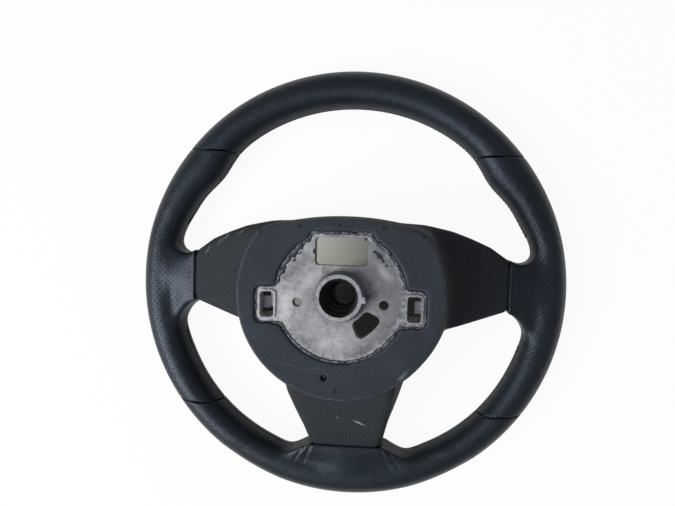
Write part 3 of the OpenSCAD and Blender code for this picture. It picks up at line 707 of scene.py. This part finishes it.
# the grips swell at the thumbs, dip below them and are a little slimmer along the bottom
def rim_width(angle):
    up = np.degrees(np.arcsin(np.sin(angle)))
    return (31.5 + 5.5 * np.exp(-((up - 38) / 8) ** 2) - 4 * np.exp(-((up - 13.5) / 7) ** 2)
            - 1.5 * np.exp(-((up + 45) / 25) ** 2))


def wrapped_bar(name, start, lean_start, end, lean_end, lip=1.2):
    span = math.radians(end - start)
    steps = int(span * SPIN_RADIUS / STEP_ALONG)
    bpy.ops.object.select_all(action="DESELECT")
    bpy.ops.mesh.primitive_circle_add(vertices=72, radius=0.01, fill_type="NGON",
                                      location=(SPIN_RADIUS / 1000, 0, RIM_MIDDLE / 1000),
                                      rotation=(math.pi / 2, 0, 0))
    bar = bpy.context.object
    bar.name = name
    bpy.ops.object.transform_apply(location=True, rotation=True, scale=True)
    edit_all(bar, bpy.ops.mesh.spin, steps=steps, angle=span, center=(0, 0, 0), axis=(0, 0, 1))
    edit_all(bar, bpy.ops.mesh.remove_doubles, threshold=0.000001)
    spun = points_of(bar)
    # points crowd towards both ends, where the edge of the hide tucks in
    turned = np.abs(np.arctan2(spun[:, 1], spun[:, 0])) / span
    round_by = np.arctan2(spun[:, 2] - RIM_MIDDLE / 1000,
                          np.hypot(spun[:, 0], spun[:, 1]) - SPIN_RADIUS / 1000)
    u = turned - 0.82 * np.sin(2 * np.pi * turned) / (2 * np.pi)
    lean = lean_start + (lean_end - lean_start) * u
    angle = np.radians(start + (end - start) * u + lean * np.cos(round_by))
    reach = np.minimum(u, 1 - u) * span * SPIN_RADIUS
    tuck = lip * (1 - np.sqrt(np.clip(1 - np.clip(1 - reach / lip, 0, 1) ** 2, 0, 1)))
    half = rim_width(angle) / 2
    out = WHEEL_RADIUS - half + (half - tuck) * np.cos(round_by)
    put_points(bar, np.stack([out * np.cos(angle), out * np.sin(angle),
                              RIM_MIDDLE + (RIM_MIDDLE - tuck) * np.sin(round_by)], axis=1) / 1000)
    face_out(bar)
    bpy.ops.object.shade_smooth()
    return bar


# dyed cowhide with a rolled grain: near black, with a soft sheen in its finish coat
def hide_material(name, holes):
    material, tree = blank_material(name)
    place = add(tree, "ShaderNodeTexCoord").outputs["Object"]
    # pebbled grain of about 1.1 mm, uneven in height over about 2 mm
    pebble = add(tree, "ShaderNodeTexVoronoi", {"feature": "DISTANCE_TO_EDGE"}, Vector=place,
                 Scale=900)
    pebble = add(tree, "ShaderNodeMapRange", in0=pebble.outputs["Distance"], From_Max=0.3)
    fine = add(tree, "ShaderNodeTexNoise", Vector=place, Scale=520, Detail=4, Roughness=0.65)
    grain = add(tree, "ShaderNodeMath", {"operation": "MULTIPLY_ADD"}, in0=fine.outputs["Fac"], in1=1.6,
                in2=pebble.outputs[0])
    tone = add(tree, "ShaderNodeTexNoise", Vector=place, Scale=20, Detail=6, Roughness=0.62)
    ramp = add(tree, "ShaderNodeValToRGB", Fac=tone.outputs["Fac"])
    for stop, position, code in zip(ramp.color_ramp.elements, (0.34, 0.68), ("#0f1418", "#181e24")):
        stop.position = position
        stop.color = linear(code)
    colour = ramp.outputs["Color"]
    # soft creases about 7 mm across
    crease = add(tree, "ShaderNodeTexNoise", Vector=place, Scale=150, Detail=3,
                 Roughness=0.55, Distortion=0.5)
    bump = add(tree, "ShaderNodeBump", Height=crease.outputs["Fac"], Distance=0.0009, Strength=0.4)
    bump = add(tree, "ShaderNodeBump", Height=grain.outputs[0], Distance=0.00014, Strength=0.35,
               Normal=bump.outputs["Normal"])
    if holes:
        # staggered rows of punched holes, 3.6 mm apart: two square lattices, painted near black as the
        # shade inside them. A real hole is 0.8 mm wide and is drawn at 1 mm so that it shows.
        grid = add(tree, "ShaderNodeAttribute", {"attribute_name": "hole_grid"})
        flat_grid = add(tree, "ShaderNodeVectorMath", {"operation": "MULTIPLY"}, in0=grid.outputs["Vector"],
                        in1=(1, 1, 0))
        strength = add(tree, "ShaderNodeSeparateXYZ", Vector=grid.outputs["Vector"])
        hole = None
        for shift in (0, 0.5):
            spot = add(tree, "ShaderNodeVectorMath", {"operation": "ADD"}, in0=flat_grid.outputs[0],
                       in1=(shift, shift, 0))
            spot = add(tree, "ShaderNodeVectorMath", {"operation": "FRACTION"}, in0=spot.outputs[0])
            spot = add(tree, "ShaderNodeVectorMath", {"operation": "DISTANCE"}, in0=spot.outputs[0],
                       in1=(0.5, 0.5, 0))
            if hole:
                spot = add(tree, "ShaderNodeMath", {"operation": "MINIMUM"}, in0=hole,
                           in1=spot.outputs["Value"])
                hole = spot.outputs[0]
            else:
                hole = spot.outputs["Value"]
        punched = add(tree, "ShaderNodeMapRange", {"interpolation_type": "SMOOTHSTEP"}, in0=hole,
                      From_Min=0.06, From_Max=0.14)
        # no holes next to the side spoke
        none = add(tree, "ShaderNodeMapRange", in0=strength.outputs["Z"], To_Min=1.0, To_Max=0.0)
        punched = add(tree, "ShaderNodeMath", {"operation": "MAXIMUM"}, in0=punched.outputs[0],
                      in1=none.outputs[0])
        darker = add(tree, "ShaderNodeMix", {"data_type": "RGBA"}, in0=punched.outputs[0],
                     in6=linear("#020303"), in7=colour)
        colour = darker.outputs[2]
        bump = add(tree, "ShaderNodeBump", Height=punched.outputs[0], Distance=0.0006, Strength=0.75,
                   Normal=bump.outputs["Normal"])
    # painted shade: the sides and underside of the rim get less sheen than its crest
    facing = add(tree, "ShaderNodeNewGeometry")
    facing = add(tree, "ShaderNodeSeparateXYZ", Vector=facing.outputs["Normal"])
    sheen_dimmed_on_sides = add(tree, "ShaderNodeMapRange", in0=facing.outputs["Z"], From_Min=0.0, From_Max=0.5,
                 To_Min=0.08, To_Max=0.5)
    shine = add(tree, "ShaderNodeBsdfPrincipled", Base_Color=colour, Roughness=0.43,
                Specular_IOR_Level=sheen_dimmed_on_sides.outputs[0], Specular_Tint=linear("#d3deee"),
                Normal=bump.outputs["Normal"])
    add(tree, "ShaderNodeOutputMaterial", Surface=shine.outputs[0])
    return material


plain_hide = hide_material("smooth steering leather", False)
pierced_hide = hide_material("perforated steering leather", True)

top_wrap = wrapped_bar("top_wrap", 43.1, -4.75, 136.9, 4.75)
top_wrap.data.materials.append(plain_hide)
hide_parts("leather_top")
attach(top_wrap, "wheel")


# Side panels: perforated leather, cut with a collar that closes round the end of each side spoke.
# The collar is skived thin, glued down and tucked into the gap at the foam of the spoke.
def turned_by(points, turn):
    cosine, sine = math.cos(turn), math.sin(turn)
    return np.stack([points[:, 0] * cosine - points[:, 1] * sine,
                     points[:, 0] * sine + points[:, 1] * cosine, points[:, 2]], axis=1)


def collar(name, sections, turn):
    bpy.ops.object.select_all(action="DESELECT")
    bpy.ops.mesh.primitive_cube_add(size=1, location=(0, 0, 0))
    block = bpy.context.object
    block.name = name
    mesh = block.data
    # one more box on the end of the row for each section
    for _ in range(len(sections) - 2):
        far = max(face.center.x for face in mesh.polygons)
        for face in mesh.polygons:
            face.select = face.normal.x > 0.9 and face.center.x > far - 0.001
        bpy.ops.object.mode_set(mode="EDIT")
        bpy.ops.mesh.extrude_region_move(TRANSFORM_OT_translate={"value": (1, 0, 0)})
        bpy.ops.mesh.select_all(action="DESELECT")
        bpy.ops.object.mode_set(mode="OBJECT")
    raw = points_of(block)
    stage = np.round(raw[:, 0] + 0.5).astype(int)
    # each section: distance out, then lowest and highest y and z
    table = np.array(sections)[stage]
    y = np.where(raw[:, 1] > 0, table[:, 2], table[:, 1])
    z = np.where(raw[:, 2] > 0, table[:, 4], table[:, 3])
    x = table[:, 0]
    put_points(block, turned_by(np.stack([x, y, z], axis=1), turn) / 1000)
    face_out(block)
    soften = block.modifiers.new("rounded edges", "BEVEL")
    soften.width = 0.0065
    soften.segments = 4
    soften.limit_method = "ANGLE"
    soften.angle_limit = math.radians(50)
    apply_all(block)
    return block


# side in mm of one square lattice of holes
HOLE_LATTICE = 5.1


def collared_panel(name, start, lean_start, end, lean_end, sections, turn, mirrored, creases=()):
    bar = wrapped_bar(name, start, lean_start, end, lean_end, lip=0.01)
    root = collar(name + "_root", sections, turn)
    bpy.ops.object.select_all(action="DESELECT")
    root.select_set(True)
    bar.select_set(True)
    bpy.context.view_layer.objects.active = bar
    bpy.ops.object.join()
    remesh = bar.modifiers.new("one hide", "REMESH")
    remesh.mode = "VOXEL"
    remesh.voxel_size = 0.00095
    apply_all(bar)
    local = turned_by(points_of(bar) * 1000, -turn)
    inner_end, spoke_low, spoke_high = sections[0][:3]
    close = np.clip((174 - local[:, 0]) / 10, 0, 1) * np.clip((local[:, 0] - inner_end - 2) / 6, 0, 1)
    close = close * np.clip((sections[-1][2] + 26 - np.abs(local[:, 1])) / 12, 0, 1)
    weigh(bar, "blends", close)
    smooth_out(bar, "take out steps", 3)
    smooth_out(bar, "collar blends", 190, "blends")
    apply_all(bar)
    xyz = points_of(bar) * 1000
    local = turned_by(xyz, -turn)
    out = np.hypot(local[:, 0], local[:, 1])
    # the hide is drawn straight from the collar to the crest of the rim, without a valley
    crown = 2 * RIM_MIDDLE + 0.075 * (CREST - local[:, 0])
    spoke_middle, spoke_width = (spoke_low + spoke_high) / 2, spoke_high - spoke_low
    hold = np.exp(-((local[:, 1] - spoke_middle) / spoke_width * 2.6) ** 2)
    hold = hold * np.clip((174 - out) / 12, 0, 1) * np.clip((local[:, 2] - 19) / 6, 0, 1)
    hold = hold * np.clip((local[:, 0] - inner_end - 1) / 5, 0, 1)
    local[:, 2] += np.clip(crown - local[:, 2], 0, 8) * hold * 0.9
    # folds where the hide is gathered beside the tongue: place across and lean
    for x, lean in creases:
        away = local[:, 1] - x - (local[:, 0] - inner_end) * lean
        reach = np.clip((local[:, 0] - inner_end - 0.5) / 2, 0, 1) * np.clip((159 - local[:, 0]) / 14, 0, 1)
        ridge = 0.2 * np.exp(-((away + math.copysign(3, x)) / 2.2) ** 2)
        fold = ridge - 0.65 * np.exp(-(away / 1.5) ** 2)
        local[:, 2] += fold * reach * np.clip((local[:, 2] - 20) / 6, 0, 1)
    xyz[:, 2] = local[:, 2]
    put_points(bar, xyz / 1000)
    # lattice of the punched holes: wound round the rim, laid flat on the collar, faded out at the spoke
    wound = 16.3 * np.abs(np.arctan2(local[:, 2] - RIM_MIDDLE, out - CREST))
    level = 25.6 + CREST - local[:, 0]
    flat = np.clip((163 - out) / 8, 0, 1) * np.clip((60 - np.abs(local[:, 1])) / 15, 0, 1)
    along = CREST * np.arctan2(local[:, 1], local[:, 0]) * (1 - flat) + local[:, 1] * 1.06 * flat
    across = wound * (1 - flat) + level * flat
    strength = np.clip((local[:, 0] - 146) / 10, 0, 1)
    grid = np.stack([along / HOLE_LATTICE, across / HOLE_LATTICE, strength], axis=1)
    lattice = bar.data.attributes.new("hole_grid", "FLOAT_VECTOR", "POINT")
    lattice.data.foreach_set("vector", grid.astype(np.float32).ravel())
    if mirrored:
        xyz = points_of(bar)
        xyz[:, 0] *= -1
        put_points(bar, xyz)
        edit_all(bar, bpy.ops.mesh.flip_normals)
    only(bar)
    bpy.ops.object.shade_smooth()
    return bar


# distance out, then lowest and highest y and z, in mm
side_sections = [(133.6, -16.6, 28.5, 9, 36), (138, -18.5, 26.6, 8, 35.2), (145, -24.5, 24.4, 6, 33.2),
                 (151.5, -35.5, 27, 4.5, 30.5), (161, -58, 36.5, 4, 27)]
for side in ("right", "left"):
    panel = collared_panel(side + "_wrap", -38.7, 4.55, 42.9, -4.75, side_sections, 0, side == "left")
    panel.data.materials.append(pierced_hide)
    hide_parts("leather_" + side)
    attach(panel, "wheel")

# Bottom panel: plain leather with a tongue that reaches up to the bottom spoke. The hide gathers in
# folds beside the tongue, where it is drawn round the corner.
low_sections = [(137.3, -31.5, 31.5, 8, 34.5), (141, -39.5, 39.5, 7, 34.2), (146, -50, 50, 5.5, 33),
                (151, -64, 64, 4.5, 30.5), (160, -86, 86, 4, 27)]
bottom_wrap = collared_panel("bottom_wrap", 218.9, -4.55, 321.1, 4.55, low_sections, -math.pi / 2, False,
                             creases=((-30, -0.35), (30, 0.35), (-35, -0.6), (35, 0.6)))
bottom_wrap.data.materials.append(plain_hide)
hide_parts("leather_bottom")
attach(bottom_wrap, "wheel")


# Seam stitches: waxed thread that draws the edges of the hide together along the inside of the
# rim, crossing to and fro between the spokes.
def seam_thread(name, start, end):
    pitch = 3.6
    radius = WHEEL_RADIUS - rim_width(np.radians((start + end) / 2))
    count = int(math.radians(end - start) * radius / pitch)
    bpy.ops.object.select_all(action="DESELECT")
    bpy.ops.mesh.primitive_cylinder_add(vertices=8, radius=0.0005, depth=0.0042, location=(0, 0, 0),
                                        rotation=(0, math.radians(56), 0))
    thread = bpy.context.object
    thread.name = name
    bpy.ops.object.transform_apply(location=True, rotation=True, scale=True)
    ends = thread.modifiers.new("rounded ends", "BEVEL")
    ends.width = 0.00035
    ends.segments = 2
    ends.limit_method = "ANGLE"
    ends.angle_limit = math.radians(60)
    apply_all(thread)
    repeat = thread.modifiers.new("stitches", "ARRAY")
    repeat.use_relative_offset = False
    repeat.use_constant_offset = True
    repeat.constant_offset_displace = (pitch / 1000, 0, 0)
    repeat.count = count
    apply_all(thread)
    raw = points_of(thread) * 1000
    angle = math.radians(start) + (raw[:, 0] - raw[:, 0].min()) / radius
    inner = WHEEL_RADIUS - rim_width(angle)
    # each stitch bows out of the leather in the middle and dips in at its ends
    inner = inner + 0.1 - raw[:, 1] + 0.09 * raw[:, 2] ** 2
    put_points(thread, np.stack([inner * np.cos(angle), inner * np.sin(angle), RIM_MIDDLE + raw[:, 2]],
                                axis=1) / 1000)
    face_out(thread)
    bpy.ops.object.shade_smooth()
    return thread


# waxed polyester: near black and dull. The twist of its plies is about 0.3 mm and is drawn at 0.7 mm
# so that it shows.
waxed, tree = blank_material("waxed polyester thread")
place = add(tree, "ShaderNodeTexCoord").outputs["Object"]
twist = add(tree, "ShaderNodeTexNoise", Vector=place, Scale=1500, Detail=2)
ramp = add(tree, "ShaderNodeValToRGB", Fac=twist.outputs["Fac"])
for stop, position, code in zip(ramp.color_ramp.elements, (0.35, 0.65), ("#14171a", "#24282d")):
    stop.position = position
    stop.color = linear(code)
bump = add(tree, "ShaderNodeBump", Height=twist.outputs["Fac"], Distance=0.0002, Strength=0.6)
shine = add(tree, "ShaderNodeBsdfPrincipled", Base_Color=ramp.outputs["Color"], Roughness=0.6,
            Normal=bump.outputs["Normal"])
add(tree, "ShaderNodeOutputMaterial", Surface=shine.outputs[0])
for name, start, end in (("upper_seam_thread", 17.5, 162.5), ("left_seam_thread", 197, 248),
                         ("right_seam_thread", 292, 343)):
    thread = seam_thread(name, start, end)
    thread.data.materials.append(waxed)
    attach(thread, "wheel")
